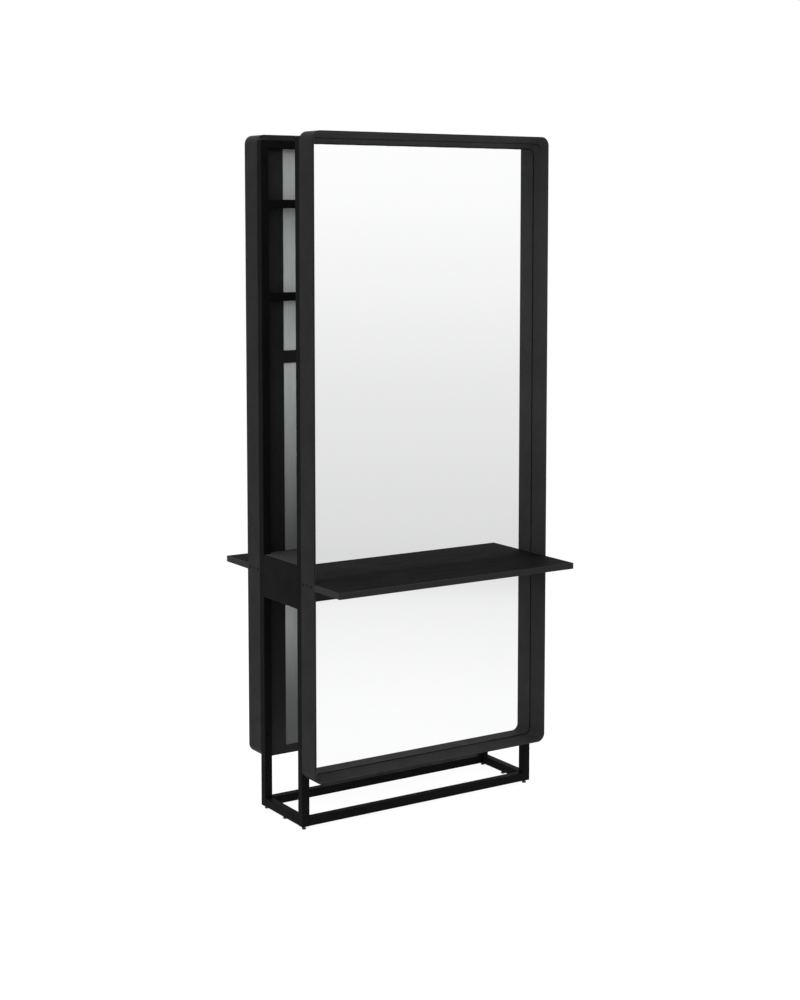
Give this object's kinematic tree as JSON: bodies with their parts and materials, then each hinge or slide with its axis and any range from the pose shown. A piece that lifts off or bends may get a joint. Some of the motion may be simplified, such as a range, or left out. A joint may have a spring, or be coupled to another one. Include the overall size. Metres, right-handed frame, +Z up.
{
  "type": "salon styling station",
  "caption": "Free-standing double-sided salon styling station: an open black tube frame with a tall framed mirror and a shelf on each side, on levelling feet.",
  "frame": {"origin": "centre of the footprint, on the floor under the feet", "axes": "+X along the width, +Z up, front mirror faces -Y and rear mirror faces +Y"},
  "size_m": [0.83, 0.68, 2.03],
  "materials": {
    "frame_paint": "black fine-texture powder coat, satin",
    "beam_paint": "black fine-texture powder coat, satin",
    "casing_paint": "charcoal fine-texture powder coat, satin",
    "bezel_paint": "charcoal fine-texture powder coat, satin",
    "back_plate_paint": "black powder coat, matt",
    "support_paint": "black powder coat, satin",
    "mirror_glass": "silvered float glass",
    "mirror_backing": "grey safety backing board",
    "shelf_board": "black laminate, fine texture",
    "shelf_edging": "charcoal edge band, satin",
    "fasteners": "black oxide",
    "foot_steel": "black oxide",
    "insert_steel": "zinc plated",
    "cap_plastic": "black moulded plastic"
  },
  "bodies": {
    "station": {"beam_bottom_plate": "beam_paint", "beam_top_plate": "beam_paint", "foot_inserts": "insert_steel", "front_back_plate": "back_plate_paint", "front_base_bar": "frame_paint", "front_beam_face": "beam_paint", "front_casing": "casing_paint", "front_casing_bolts": "fasteners", "front_left_post": "frame_paint", "front_lower_backing": "mirror_backing", "front_lower_bezel": "bezel_paint", "front_lower_mirror": "mirror_glass", "front_lower_rung": "frame_paint", "front_right_post": "frame_paint", "front_shelf": "shelf_board", "front_shelf_edging": "shelf_edging", "front_shelf_screws": "fasteners", "front_shelf_support": "support_paint", "front_support_bolts": "fasteners", "front_top_bar": "frame_paint", "front_upper_backing": "mirror_backing", "front_upper_bezel": "bezel_paint", "front_upper_mirror": "mirror_glass", "front_upper_rung": "frame_paint", "left_base_bar": "frame_paint", "left_beam_end": "beam_paint", "post_caps": "cap_plastic", "rear_back_plate": "back_plate_paint", "rear_base_bar": "frame_paint", "rear_beam_face": "beam_paint", "rear_casing": "casing_paint", "rear_casing_bolts": "fasteners", "rear_left_post": "frame_paint", "rear_lower_backing": "mirror_backing", "rear_lower_bezel": "bezel_paint", "rear_lower_mirror": "mirror_glass", "rear_lower_rung": "frame_paint", "rear_right_post": "frame_paint", "rear_shelf": "shelf_board", "rear_shelf_edging": "shelf_edging", "rear_shelf_screws": "fasteners", "rear_shelf_support": "support_paint", "rear_support_bolts": "fasteners", "rear_top_bar": "frame_paint", "rear_upper_backing": "mirror_backing", "rear_upper_bezel": "bezel_paint", "rear_upper_mirror": "mirror_glass", "rear_upper_rung": "frame_paint", "right_base_bar": "frame_paint", "right_beam_end": "beam_paint"},
    "front_left_foot": {"front_left_foot": "foot_steel"},
    "front_right_foot": {"front_right_foot": "foot_steel"},
    "middle_left_foot": {"middle_left_foot": "foot_steel"},
    "middle_right_foot": {"middle_right_foot": "foot_steel"},
    "rear_left_foot": {"rear_left_foot": "foot_steel"},
    "rear_right_foot": {"rear_right_foot": "foot_steel"}
  },
  "joints": [
    {"name": "front_left_foot_travel", "type": "slide", "parent": "station", "child": "front_left_foot", "axis": [0, 0, 1], "range_m": [-0.012, 0]},
    {"name": "front_right_foot_travel", "type": "slide", "parent": "station", "child": "front_right_foot", "axis": [0, 0, 1], "range_m": [-0.012, 0]},
    {"name": "middle_left_foot_travel", "type": "slide", "parent": "station", "child": "middle_left_foot", "axis": [0, 0, 1], "range_m": [-0.012, 0]},
    {"name": "middle_right_foot_travel", "type": "slide", "parent": "station", "child": "middle_right_foot", "axis": [0, 0, 1], "range_m": [-0.012, 0]},
    {"name": "rear_left_foot_travel", "type": "slide", "parent": "station", "child": "rear_left_foot", "axis": [0, 0, 1], "range_m": [-0.012, 0]},
    {"name": "rear_right_foot_travel", "type": "slide", "parent": "station", "child": "rear_right_foot", "axis": [0, 0, 1], "range_m": [-0.012, 0]}
  ]
}
